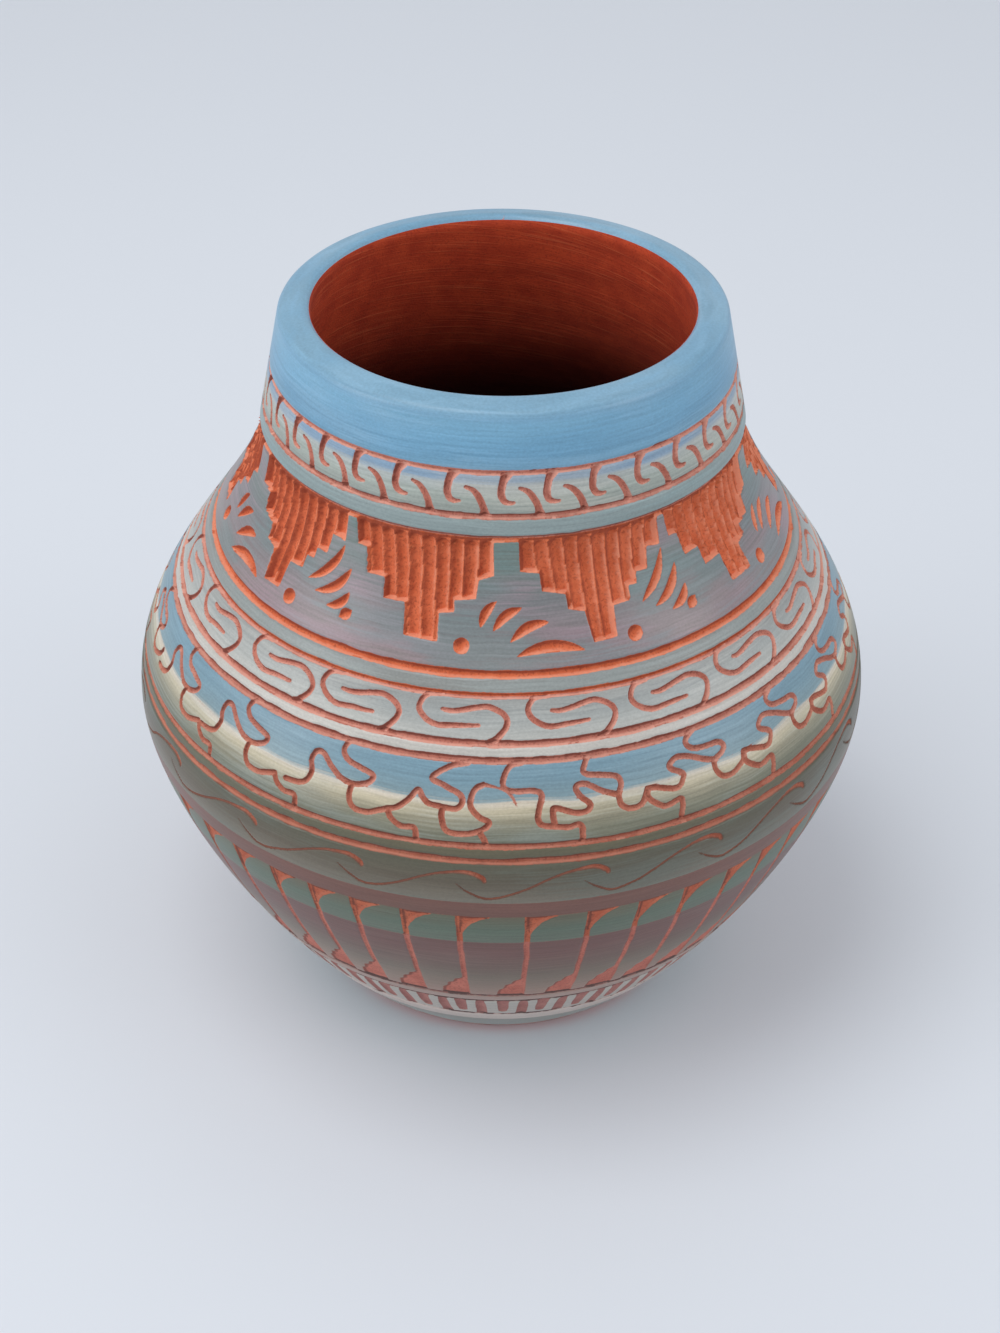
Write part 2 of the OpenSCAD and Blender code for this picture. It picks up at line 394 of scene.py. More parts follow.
def bandTree():
    tree = bpy.data.node_groups.new("carvedBand", "GeometryNodeTree")
    for kind, names in bandInputs.items():
        for name in names:
            tree.interface.new_socket(name, in_out="INPUT", socket_type="NodeSocket" + kind)
    tree.interface.new_socket("band", in_out="OUTPUT", socket_type="NodeSocketGeometry")
    g = Sheet(tree)
    given = tree.nodes.new("NodeGroupInput")

    def ask(name):
        return Wire(g, given.outputs[name])

    def named(name, kind="FLOAT"):
        return g.node("GeometryNodeInputNamedAttribute", {"data_type": kind}, {"Name": name})

    def keep(shape, name, value, domain="POINT", kind="FLOAT"):
        sockets = {"Geometry": shape, "Name": name, "Value": value}
        return g.node("GeometryNodeStoreNamedAttribute", {"data_type": kind, "domain": domain}, sockets)

    def shapeOf(source):
        settings = {"transform_space": "ORIGINAL"}
        return g.node("GeometryNodeObjectInfo", settings, {"Object": ask(source)}, out="Geometry")

    def move(shape, offset):
        return g.node("GeometryNodeSetPosition", sockets={"Geometry": shape, "Offset": offset})

    rows, backRows, degree = ask("rows"), ask("backRows"), ask("degree")
    around = degree * 360
    position = g.node("GeometryNodeInputPosition")

    def onCylinder(vector, rate, riseRate):
        # the flat pattern's place on a cylinder, so that noise has no seam
        x, y, _ = g.split(vector)
        turn = x / around * math.tau
        radius = degree * (180 / math.pi) * rate
        return g.vector(turn.math("COSINE") * radius, turn.math("SINE") * radius, y * riseRate)

    # one unit of the pattern, repeated round the band with a little drift
    units, drift = ask("units"), ask("drift")
    pitch = around / units
    spots = g.node("GeometryNodeMeshLine", {"mode": "OFFSET"}, {
        "Count": units + 2 * hand["spare"],
        "Start Location": g.vector(ask("first") * degree - hand["spare"] * pitch, 0.0, 0.0),
        "Offset": g.vector(pitch, 0.0, 0.0)})
    unit = g.node("GeometryNodeInputIndex").math("MODULO", units)
    stray = g.node("FunctionNodeRandomValue", {"data_type": "FLOAT_VECTOR"}, {
        0: (-1, -1, -1), 1: (1, 1, 1), "ID": unit, "Seed": ask("seed")})
    strayX, strayY, strayTurn = g.split(stray)
    spots = move(spots, g.vector(strayX * drift, strayY * drift * hand["driftUp"], 0.0))
    spots = keep(spots, "turn", strayTurn * drift * hand["driftTurn"])

    def repeat(source):
        copies = g.node("GeometryNodeInstanceOnPoints", sockets={
            "Points": spots, "Instance": shapeOf(source), "Rotation": g.vector(0.0, 0.0, named("turn"))})
        return g.node("GeometryNodeRealizeInstances", sockets={0: copies})

    def wandering(shape, rate=0.16):
        sway = g.noise(onCylinder(position, rate, rate), 1.0).other("Color")
        swayX, swayY, _ = g.split(sway)
        return move(shape, g.vector((swayX - 0.5) * ask("wander"), (swayY - 0.5) * ask("wander"), 0.0))

    def cutPoints(source, smooth, step=0.12):
        shape = repeat(source)
        if smooth:
            shape = g.node("GeometryNodeCurveSplineType", {"spline_type": "CATMULL_ROM"}, {"Curve": shape})
        shape = keep(shape, "half", g.node("GeometryNodeInputRadius"))
        shape = g.node("GeometryNodeResampleCurve", {"mode": "LENGTH"}, {"Curve": shape, "Length": step})
        return g.node("GeometryNodeCurveToPoints", {"mode": "EVALUATED"}, {"Curve": wandering(shape)})

    # the grid: rows up the outside, then down the back of the shell
    grid = g.node("GeometryNodeMeshGrid", sockets={
        "Size X": 1.0, "Size Y": 1.0, "Vertices X": ask("columns"), "Vertices Y": rows + backRows + 2})
    gridX, gridY, _ = g.split(position)
    across = gridX + 0.5
    fineRow = (gridY + 0.5) * (rows + backRows + 1)
    row = fineRow.math("ROUND")
    back = ((row - rows) / backRows).most(0.0).least(1.0)
    share = (row / (rows - 1)).least(1.0) - back
    length = ask("from") + (ask("to") - ask("from")) * share
    atBack = row.above(rows - 0.5) * row.below(rows + backRows + 0.5)
    flat = g.vector(across * around, length, 0.0)

    def cutBy(points):
        near = g.node("GeometryNodeSampleNearest", {"domain": "POINT"}, {
            "Geometry": points, "Sample Position": flat})

        def sample(kind, value):
            sockets = {"Geometry": points, "Index": near, "Value": value}
            return g.node("GeometryNodeSampleIndex", {"data_type": kind}, sockets)

        away = g.between(flat, sample("FLOAT_VECTOR", position))
        half = sample("FLOAT", named("half"))
        gap = g.node("ShaderNodeVectorMath", {"operation": "LENGTH"}, {0: away}, out="Value")
        return gap, half.most(hand["leastHalf"]), away

    def wallOf(away, half, up=0.8, left=0.6):
        # 1 on the upper left wall of a cut and -1 on the lower right one, later painted as shade and
        # highlight
        x, y, _ = g.split(away)
        return (y * up - x * left) / half

    def scoop(gap, half, power=2.0):
        # how far into a cut, 1 on its centre line and 0 at its edge
        return 1 - (gap / half).least(1.0).math("POWER", power)

    strokeGap, strokeHalf, strokeAway = cutBy(cutPoints("strokes", True))
    edge = strokeGap - strokeHalf
    groove = scoop(strokeGap, strokeHalf, hand["strokeCurve"])
    depth = groove * strokeHalf.least(hand["strokeMost"]) * ask("strokeDepth")
    # painted shade and highlight: the clay darkens on each cut's upper left wall and lightens on its lower
    # right one
    shade = wallOf(strokeAway, strokeHalf) * strokeGap.below(strokeHalf)

    fields = wandering(repeat("patches"))

    def nearest(element):
        sockets = {0: fields, "Sample Position": flat}
        return g.node("GeometryNodeProximity", {"target_element": element}, sockets)

    outer = nearest("FACES").other("Distance")
    nearBorder = nearest("EDGES")
    border = nearBorder.other("Distance")
    within = outer.below(hand["onField"])
    fluteGap, fluteHalf, fluteAway = cutBy(cutPoints("flutes", False))
    inFlute = fluteGap.below(fluteHalf * hand["fluteReach"])
    ridge = 1 - scoop(fluteGap, fluteHalf)
    floorDepth = ask("patchDepth") * (1 - ridge * ask("fluteShare"))
    borderWall = wallOf(g.between(nearBorder, flat), border.most(hand["leastBorder"]))
    atBorder = g.ease(border, *hand["borderShows"])
    # painted shade and highlight on the gouge walls and along the pendant borders
    shade = shade + within * inFlute * wallOf(fluteAway, fluteHalf)
    shade = shade + within * atBorder * borderWall * hand["borderShade"]
    edge = edge.least(outer - within * border)
    depth = depth.most(within * floorDepth * g.ease(border, 0.0, hand["borderSlope"]))

    angle = (across - 0.5) * math.tau
    ringed = g.number(0.0)
    for ring, level in (("topRing", "to"), ("lowRing", "from")):
        # the two bands that share a ring sway alike, because only the turn and the level count
        hoopX = angle.math("COSINE") * hand["hoop"]
        hoopY = angle.math("SINE") * hand["hoop"]
        hoop = g.vector(hoopX, hoopY, ask(level) * hand["hoopRise"])
        sway = (g.noise(hoop) - 0.5) * ask("ringSway")
        half = ask(ring) / 2 * (1 + (g.mottle(hoop, hand["hoopFine"]) - 0.5) * hand["ringVary"])
        rise = length - ask(level) - sway
        gap = rise.math("ABSOLUTE")
        # painted shade on the ring's upper wall and painted highlight on its lower wall
        shade = shade + rise / half.most(hand["leastHalf"]) * gap.below(half)
        edge = edge.least(gap - half)
        ringed = ringed.most(gap.below(half * hand["ringReach"]))
        groove = scoop(gap, half.most(hand["leastHalf"]), hand["ringCurve"])
        depth = depth.most(groove * half.least(hand["ringMost"]) * ask("ringDepth"))

    chatter = g.noise(onCylinder(flat, hand["chatterRate"], hand["chatterRate"])) - 0.5
    depth = depth * (1 + hand["chatter"] * chatter)
    # rows count from 0, so the tests fall between two of them
    shape = keep(grid, "outer", fineRow.below(rows - 1.2), "FACE", "BOOLEAN")
    shape = keep(shape, "rim", row.below(0.5).most(row.above(rows - 1.5)), kind="BOOLEAN")
    shape = keep(shape, "edge", edge.least(hand["clear"]) + atBack * hand["clear"])
    shape = keep(shape, "cut", depth * (1 - atBack))
    # shade carries the painted shade and highlight to the material
    shape = keep(shape, "shade", shade.least(1.0).most(-1.0))
    shape = keep(shape, "ringed", ringed)

    # wrap the grid onto the wall
    onWall = g.node("GeometryNodeSampleCurve", {"mode": "LENGTH"}, {
        "Curves": shapeOf("wall"), "Length": length}, out="Position")
    wallX, _, wallUp = g.split(onWall)
    runX, _, runUp = g.split(onWall.other("Tangent"))
    toEnd = (length - ask("from")).least(ask("to") - length)
    tooling = g.noise(onCylinder(flat, *hand["scrapeRates"])) - 0.5
    scrape = tooling * ask("scrape") * g.ease(toEnd, *hand["scrapeGrows"])
    sunk = ask("skin") + named("cut") + scrape + atBack * (ask("thick") - ask("skin"))
    radius = (wallX - runUp * sunk) * mm
    height = (wallUp + runX * sunk) * mm
    placed = g.vector(radius * angle.math("SINE"), 0 - radius * angle.math("COSINE"), height)
    shape = g.node("GeometryNodeSetPosition", sockets={"Geometry": shape, "Position": placed})
    shape = g.node("GeometryNodeMergeByDistance", sockets={"Geometry": shape, "Distance": weld})
    shape = g.node("GeometryNodeSetShadeSmooth", {"domain": "FACE"}, {
        0: shape, "Shade Smooth": named("outer", "BOOLEAN")})
    shape = g.node("GeometryNodeSetShadeSmooth", {"domain": "EDGE"}, {
        0: shape, "Selection": named("rim", "BOOLEAN"), "Shade Smooth": False})
    shape = g.node("GeometryNodeSetMaterial", sockets={"Geometry": shape, "Material": ask("material")})
    tree.links.new(shape.socket, tree.nodes.new("NodeGroupOutput").inputs[0])
    return tree


carvedBand = bandTree()
bandItems = carvedBand.interface.items_tree
bandSockets = {item.name: item.identifier for item in bandItems if item.in_out == "INPUT"}
# what a band has where its own dictionaries say nothing else, in millimetres
plainBand = {
    "skin": 0.12,           # the dressed face lies this far inside the solids' face
    "thick": 1.9, "scrape": 0.02, "topRing": 0.0, "lowRing": 0.0, "ringDepth": 1.0, "ringSway": 0.35,
    "strokes": noStroke, "strokeDepth": 1.2, "patches": noPatch, "patchDepth": 0.8, "flutes": noStroke,
    "fluteShare": 0.0, "units": 1, "first": 0.0, "drift": 0.0, "wander": 0.0, "seed": 7,
    "leastRows": 6, "backCell": 4, "leastBackRows": 2,
}


def carve(name, node, material, band, marks=None):
    # a ring of the wall between two lengths, with its marks cut in
    cut = {**plainBand, **band, **(marks or {})}
    low, high = cut["from"], cut["to"]
    degree = cut.get("degree", math.radians(radiusAt((low + high) / 2)))
    top = cut.get("top", high)
    values = {
        **cut, "wall": wallLine, "material": material, "degree": degree,
        "strokes": strokeCurves(name + "Strokes", cut["strokes"], degree, top),
        "flutes": strokeCurves(name + "Flutes", cut["flutes"], degree, top),
        "patches": patchMesh(name + "Patches", cut["patches"], degree, top),
        "columns": int(360 * degree / cut["cell"]) + 1,
        "rows": max(int((high - low) / cut["cell"]) + 1, cut["leastRows"]),
        "backRows": max(int((high - low) / cut["backCell"]), cut["leastBackRows"]),
        "first": (cut["first"] + 180) % (360 / cut["units"]),
    }
    made = bpy.data.objects.new(name, bpy.data.meshes.new(name))
    scene.collection.objects.link(made)
    modifier = made.modifiers.new("carve", "NODES")
    modifier.node_group = carvedBand
    for key, socket in bandSockets.items():
        modifier[socket] = values[key]
    graph = bpy.context.evaluated_depsgraph_get()
    shaped = made.evaluated_get(graph)
    mesh = bpy.data.meshes.new_from_object(shaped, preserve_all_data_layers=True, depsgraph=graph)
    made.modifiers.clear()
    made.data = mesh
    mesh.name = name
    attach(made, "root")
    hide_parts(node)
    print(name, "carved:", len(mesh.polygons), "faces")


# bare clay: red in broad cuts, dusty in fine lines, dull where the paint is only scraped
# shadow and shine are how much painted shade and painted highlight the cut walls take, towards the deep and
# pale colours
def tones(light, dark, deep, dustAndHighlight, shadow, shine, **more):
    colours = {"light": light, "dark": dark, "deep": deep, "dustAndHighlight": dustAndHighlight, **more}
    return {"shadow": shadow, "shine": shine, **{name: srgb(*colour) for name, colour in colours.items()}}


clays = {
    "broad": tones((214, 110, 70), (198, 94, 54), (122, 42, 22), (238, 158, 128), 0.7, 0.6),
    "fine": tones((200, 130, 112), (184, 110, 92), (112, 52, 40), (232, 172, 154), 0.85, 0.6),
    "dusky": tones((192, 125, 107), (174, 105, 89), (108, 54, 42), (218, 158, 140), 0.85, 0.6),
    "ruddy": tones((186, 114, 92), (166, 92, 72), (100, 48, 36), (208, 144, 124), 0.8, 0.5),
    "faint": tones((178, 104, 80), (160, 86, 64), (102, 70, 58), (208, 140, 118), 0.5, 0.5),
    "hatched": tones((190, 104, 74), (168, 82, 56), (96, 52, 42), (184, 116, 94), 0.8, 0.3),
    "scraped": tones((190, 114, 98), (174, 98, 84), (98, 60, 54), (184, 122, 108), 0.6, 0.3,
                     ring=(78, 60, 56)),
    "dull": tones((170, 116, 108), (154, 98, 92), (98, 68, 64), (174, 128, 120), 0.3, 0.3,
                  ring=(78, 66, 64)),
}
clays["faint"]["thin"] = 0.44       # shallower cuts than this leave the clay dark
clayRough, paintRough = 0.88, 0.36
bumpStrength = 0.35
# noise rates in cycles per metre, where each noise shows and how strongly
clayWork = {"blotch": 260, "blotchShows": (0.3, 0.7), "grit": 2600, "gritShows": (0.5, 0.72),
            "gritShare": 0.5}
# shadowShows, shineShows and nickShade place the painted shade and painted highlight on the cut walls
paintWork = {
    "sway": 55, "brush": 70, "brushRise": 2600, "brushSway": 0.0016, "grain": (2200, 2200, 3400),
    "grainTone": 0.36, "cloud": 34, "cloudStep": 17, "cloudFlat": 3, "cloudBrush": 0.5,
    "cloudShows": (0.44, 0.66), "ragged": 1500, "raggedReach": 0.22, "nick": 1100, "nickShade": 0.6,
    "shadowShows": (0.0, 0.6), "shineShows": (-0.1, -0.7), "thinFrom": 0.03, "ringShare": 0.85,
    "chatter": (500, 500, 2400), "brushRelief": 0.35, "clayRelief": 0.6, "relief": 0.00025,
}
# what a paint has where its own dictionary says nothing else
plainLook = {"sway": 1.0, "feather": 1.0, "streak": 0.58, "clay": "fine", "soft": 0.05}


def clayColour(s, place, look):
    blotch = s.mottle(place, clayWork["blotch"], 4.0)
    grit = s.mottle(place, clayWork["grit"])
    tone = s.mix(s.ease(blotch, *clayWork["blotchShows"]), look["dark"], look["light"])
    return s.mix(s.ease(grit, *clayWork["gritShows"]) * clayWork["gritShare"], tone, look["deep"]), grit


def newMaterial(name):
    material = bpy.data.materials.new(name)
    material.use_nodes = True
    material.node_tree.nodes.clear()
    return material, Sheet(material.node_tree)


def close(s, shader):
    output = s.tree.nodes.new("ShaderNodeOutputMaterial")
    s.tree.links.new(shader.socket, output.inputs["Surface"])


def finish(s, colour, rough, bump, distance):
    normal = s.node("ShaderNodeBump",
                    sockets={"Strength": bumpStrength, "Distance": distance, "Height": bump})
    shader = s.node("ShaderNodeBsdfPrincipled", sockets={
        "Base Color": colour, "Roughness": rough, "Normal": normal})
    close(s, shader)


def paintedClay(name, look):
    # satin brushed paint, worn through to clay where the band is cut, with painted shade and painted
    # highlight on the cut walls
    look = {**plainLook, **look}
    tones = clays[look["clay"]]
    work = paintWork
    material, s = newMaterial(name)
    place = s.node("ShaderNodeTexCoord", out="Object")
    x, y, z = s.split(place)
    sway = s.mottle(place, work["sway"], 3.0) - 0.5
    swayed = (z + sway * work["brushSway"]) * work["brushRise"]
    brush = s.noise(s.vector(x * work["brush"], y * work["brush"], swayed), 4.0)
    grain = s.mottle(place, work["grain"])
    level = z * 1000 + sway * look["sway"] + (brush - 0.5) * look["feather"]
    low, high = look["stops"][0][0], look["stops"][-1][0]
    ramp = [((stop - low) / (high - low), colour) for stop, colour in look["stops"]]
    paint = s.node("ShaderNodeValToRGB", {"stops": ramp}, {"Fac": (level - low) / (high - low)})
    for k, (share, *tint) in enumerate(look["tints"]):
        rate = work["cloud"] + work["cloudStep"] * k
        cloud = s.mottle(place, (rate, rate, rate * work["cloudFlat"]), 3.0)
        cloud = cloud + (brush - 0.5) * work["cloudBrush"]
        paint = s.mix(s.ease(cloud, *work["cloudShows"]) * share, paint, srgb(*tint))
    tone = 1 + (brush - 0.5) * look["streak"] + (grain - 0.5) * work["grainTone"]
    paint = s.node("ShaderNodeVectorMath", {"operation": "SCALE"}, {0: paint, "Scale": tone})
    clay, grit = clayColour(s, place, tones)
    ragged = s.attribute("edge") + (s.mottle(place, work["ragged"], 3.0) - 0.5) * work["raggedReach"]
    bare = 1 - s.ease(ragged, -look["soft"], look["soft"])
    # painted shade and painted highlight: the shade attribute, broken up by noise, darkens cut walls towards
    # the deep colour and lightens them towards the pale one
    nick = s.mottle(place, work["nick"], 3.0) - 0.5
    shade = s.attribute("shade") + nick * work["nickShade"]
    clay = s.mix(s.ease(shade, *work["shadowShows"]) * tones["shadow"], clay, tones["deep"])
    clay = s.mix(s.ease(shade, *work["shineShows"]) * tones["shine"], clay, tones["dustAndHighlight"])
    if "thin" in tones:
        clay = s.mix(1 - s.ease(s.attribute("cut"), work["thinFrom"], tones["thin"]), clay, tones["deep"])
    if "ring" in tones:
        clay = s.mix(s.attribute("ringed") * work["ringShare"], clay, tones["ring"])
    rough = paintRough + bare * (clayRough - paintRough)
    chatter = s.mottle(place, work["chatter"])
    relief = brush * work["brushRelief"] * (1 - bare) + (grit + chatter + nick) * work["clayRelief"] * bare
    finish(s, s.mix(bare, paint, clay), rough, relief, work["relief"])
    return material


def bareClay(name, look):
    # scraped inside of the pot, with painted shade that darkens it towards the floor, and plain under the
    # foot
    material, s = newMaterial(name)
    place = s.node("ShaderNodeTexCoord", out="Object")
    x, y, z = s.split(place)
    clay, grit = clayColour(s, place, look)
    slanted = (z + x * look["slant"]) * look["scratchRise"]
    scratch = s.noise(s.vector(x * look["scratch"], y * look["scratch"], slanted), 4.0)
    smear = s.mottle(place, look["smear"], 4.0)
    clay = s.mix(s.ease(smear, *look["smearShows"]) * look["smearShare"], clay, look["deep"])
    clay = s.mix(s.ease(scratch, *look["scratchShows"]) * look["scratchShare"], clay, look["dustAndHighlight"])
    level = z * 1000
    # painted shade: below the neck the inside turns towards the near-black floor colour, where little light
    # reaches
    dark = s.ease(level, *look["paintedShadeLevels"]) * s.ease(level, *look["soleEnds"])
    clay = s.mix(dark * look["paintedShadeShare"], clay, look["floor"])
    finish(s, clay, clayRough, scratch + grit * look["gritRelief"], look["relief"])
    return material


# the coats from the lip down, each with the width of the ring cut above it, in millimetres
ring, bellyRing, wideRing, lipRing, noRing = 1.1, 1.3, 1.45, 0.9, 0.0
rings = {
    "neck_coat": noRing, "hook_coat": lipRing, "collar_line_coat": ring, "shoulder_coat": ring,
    "shoulder_line_coat": wideRing, "key_coat": ring, "white_line_coat": bellyRing, "sky_coat": bellyRing,
    "cream_coat": noRing, "sage_line_coat": ring, "scroll_coat": bellyRing, "mauve_line_coat": noRing,
    "crown_coat": noRing, "feather_coat": noRing, "foot_line_coat": ring, "tick_coat": ring,
    "white_ring_coat": ring, "foot_coat": noRing, "bare": noRing,
}
coats = list(rings)
below = dict(zip(coats, coats[1:]))
# the levels between them, from the frame
levels = {"bare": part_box("foot_coat")[0][2] / mm}
for upper, lower in zip(coats, coats[1:-1]):
    levels[lower] = (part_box(upper)[0][2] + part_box(lower)[1][2]) / 2 / mm
paintTurn = math.radians(150)       # how far the paint goes round the lip's inner edge, from level
topTurn = math.pi / 2 - lipSlope
paintEnd = rimStart + (lipFinish - rimStart) * (paintTurn - topTurn) / (math.pi + neckLean - topTurn)


def stretchOf(coat):
    # where a coat starts and ends along the wall line
    high = lengthAt(levels[coat]) if coat in levels else paintEnd
    return lengthAt(levels[below[coat]]), high


def degreeOf(*coatNames):
    # millimetres in one degree at the middle of these coats
    ends = [stretchOf(coat) for coat in coatNames]
    middle = (max(high for low, high in ends) + min(low for low, high in ends)) / 2
    return math.radians(radiusAt(middle))


def heightStops(coat, *colours):
    # colours from the foot of a coat to its top, evenly spaced or each with its share of the height
    start, end = stretchOf(coat)
    low = np.interp(start, wallLength, wallZ)
    high = np.interp(min(end, lipStart), wallLength, wallZ)
    stops = []
    for k, entry in enumerate(colours):
        share, *colour = entry if len(entry) == 4 else (k / (len(colours) - 1), *entry)
        stops.append((low + (high - low) * share, srgb(*colour)))
    return stops


def dressCoat(name, coat, paint, look, cell, marks=None):
    low, high = stretchOf(coat)
    band = {"from": low, "to": high, "cell": cell, "topRing": rings[coat], "lowRing": rings[below[coat]]}
    stops = look.get("stops") or heightStops(coat, *look["colours"])
    carve(name, coat, paintedClay(paint, {**look, "stops": stops}), band, marks)


print("levels:", {name: round(z, 1) for name, z in levels.items()})


# neck: plain blue with a paler lip
neckLook = {
    "colours": [(0, 106, 150, 176), (0.3, 104, 152, 182), (0.6, 112, 162, 192), (0.9, 116, 164, 192),
                (1, 116, 160, 188), (1.12, 118, 158, 182)],
    "tints": [(0.45, 134, 168, 190), (0.35, 94, 144, 176)], "streak": 0.52,
}
dressCoat("neckBand", "neck_coat", "neckBlue", neckLook, 0.5)

# running hooks
hookMarks = {
    "units": 32, "first": -0.25, "drift": 0.25, "wander": 0.35, "seed": 3,
    "strokes": [
        ([(0.5, 0), (-0.35, 1.2), (-0.75, 2.4), (-0.85, 3.7), (-0.25, 4.7), (0.8, 5.05), (2.0, 5.05)],
         [1.0, 0.7, 0.64, 0.62, 0.56, 0.44, 0.28]),
        ([(7.65, 7.3), (7.5, 6.4), (7.0, 5.2), (6.0, 3.9), (4.8, 3.05), (3.25, 2.6)],
         [1.0, 0.64, 0.58, 0.56, 0.46, 0.3]),
    ],
}
hookLook = {
    "colours": [(0, 138, 144, 138), (0.4, 160, 168, 160), (0.7, 168, 174, 172), (0.78, 130, 154, 176),
                (1, 118, 148, 174)],
    "tints": [(0.35, 186, 182, 172)], "sway": 1.4, "feather": 1.6,
}
dressCoat("hookBand", "hook_coat", "hookWhite", hookLook, 0.2, hookMarks)

dressCoat("collarLine", "collar_line_coat", "collarTeal", {
    "colours": [(130, 144, 144), (140, 154, 154)], "tints": [(0.4, 120, 150, 154)]}, 0.3)

# shoulder: stepped pendants filled with gouges, with fans of leaves and a dot between them
# outlines in degrees from a pendant's middle and millimetres down, lean in degrees for each millimetre
pendants = {
    "left": {"middle": 0.0, "lean": 0.12, "outline": [
        (-17, 0), (-16, 4.7), (-13.6, 4.8), (-12.6, 9), (-8.4, 8.7), (-7.9, 12.2), (-3, 12), (-2.3, 17.4),
        (4.6, 17.6), (4.2, 12.9), (7.4, 12.4), (7.2, 10.5), (11.7, 10.1), (12, 7), (15.1, 6.2), (15, 0)]},
    "right": {"middle": 36.0, "lean": 0.03, "outline": [
        (-15.7, 0), (-15.5, 5.4), (-11.3, 5.9), (-11, 8.9), (-6.1, 9.7), (-5.9, 12.1), (-2.4, 12.9),
        (-1.4, 18.1), (3.4, 17.9), (3.8, 12.9), (7.4, 12.7), (7.7, 10.3), (9.8, 10.3), (10, 8.4),
        (12.9, 8.5), (13.4, 4.9), (17, 5.3), (17, 0)]},
}
gouge = {"count": 10, "top": 1.5, "end": 18.4, "draw": 0.0125, "grow": 1.03}


def pendantGouges(middle, lean, outline, degree):
    # upright gouges side by side, which draw together as the wall widens
    left, right = outline[0][0], outline[-1][0]
    wide = (right - left) / gouge["count"]
    half = wide * degree / 2 * gouge["grow"]
    run = gouge["end"] - gouge["top"]
    made = []
    for k in range(gouge["count"]):
        turn = left + wide * (k + 0.5)
        foot = turn + (lean - gouge["draw"] * turn) * run
        points = [(middle + turn, gouge["top"]), (middle + foot, gouge["end"])]
        made.append((points, [half, half * (1 - gouge["draw"] * run)]))
    return made


fanA, fanB = 54.0, 18.0
shoulderDegree = degreeOf("shoulder_coat")
shoulderMarks = {
    "units": 5, "first": -17.2, "degree": shoulderDegree, "drift": 0.2, "wander": 0.5, "seed": 11,
    "patchDepth": 1.3, "fluteShare": 0.8, "strokeDepth": 1.0,
    "patches": [[(pendant["middle"] + turn, down) for turn, down in pendant["outline"]]
                for pendant in pendants.values()],
    "flutes": [cut for pendant in pendants.values()
               for cut in pendantGouges(degree=shoulderDegree, **pendant)],
    "strokes": [
        leaf((fanA - 8, 13.6), (fanA - 0.9, 5.9), (1.0, 0.6), 0.78),
        leaf((fanA - 5.2, 15.0), (fanA + 1.9, 9.1), (1.0, 0.7), 0.8),
        leaf((fanA - 1.6, 16.4), (fanA + 2.9, 13.1), (0.7, 0.5), 0.75),
        leaf((fanA + 2.0, 17.4), (fanA + 4.4, 15.8), (0, 0), 0.95),
        dot(fanA - 11, 18.0, 1.25),
        leaf((fanB - 5.3, 14.6), (fanB - 2.3, 10.4), (-0.5, -0.3), 0.7),
        leaf((fanB - 2.8, 15.2), (fanB + 2.95, 11.4), (-0.4, -0.6), 0.78),
        leaf((fanB + 0.5, 17.0), (fanB + 8.2, 13.9), (-0.2, -0.8), 0.82),
        leaf((fanB + 1.7, 19.3), (fanB + 14.7, 19.1), (0, -1.4), 0.95),
        dot(fanB - 8.8, 17.7, 1.25),
    ],
}
shoulderLook = {
    "colours": [(142, 130, 130), (132, 122, 124), (116, 118, 120), (110, 122, 118), (108, 124, 118)],
    "tints": [(0.55, 150, 124, 134), (0.5, 98, 126, 126)], "streak": 0.72, "sway": 7.0, "clay": "broad",
}
dressCoat("shoulderBand", "shoulder_coat", "shoulderGrey", shoulderLook, 0.27, shoulderMarks)

dressCoat("shoulderLine", "shoulder_line_coat", "shoulderLineTeal", {
    "colours": [(138, 140, 136), (134, 138, 136)], "tints": [(0.3, 142, 154, 154)], "clay": "broad"}, 0.3)

# key frets
keyMarks = {
    "units": 20, "first": 4.4, "drift": 0.4, "wander": 0.5, "seed": 5,
    "strokes": [
        ([(3.4, 0), (1.3, 0.6), (0.2, 2.0), (0.3, 3.4), (1.9, 4.8), (4, 5.4), (7, 5.1), (10.3, 5.0)],
         [0.75, 0.52, 0.5, 0.5, 0.5, 0.5, 0.46, 0.34]),
        ([(4.1, 2.7), (5.9, 2.8), (9.5, 2.1), (11.8, 1.9), (13.9, 2.7), (14.9, 3.9), (14.6, 5.4),
          (13.2, 7.1), (12.4, 7.8)],
         [0.34, 0.46, 0.5, 0.5, 0.5, 0.5, 0.52, 0.58, 0.8]),
    ],
}
keyLook = {
    "colours": [(178, 178, 172), (156, 160, 158), (142, 144, 142)],
    "tints": [(0.35, 178, 178, 172)],
}
dressCoat("keyBand", "key_coat", "keyTeal", keyLook, 0.2, keyMarks)

dressCoat("whiteLine", "white_line_coat", "lineWhite", {
    "colours": [(188, 184, 176), (182, 178, 172)], "tints": [(0.3, 196, 194, 186)], "streak": 0.36}, 0.3)

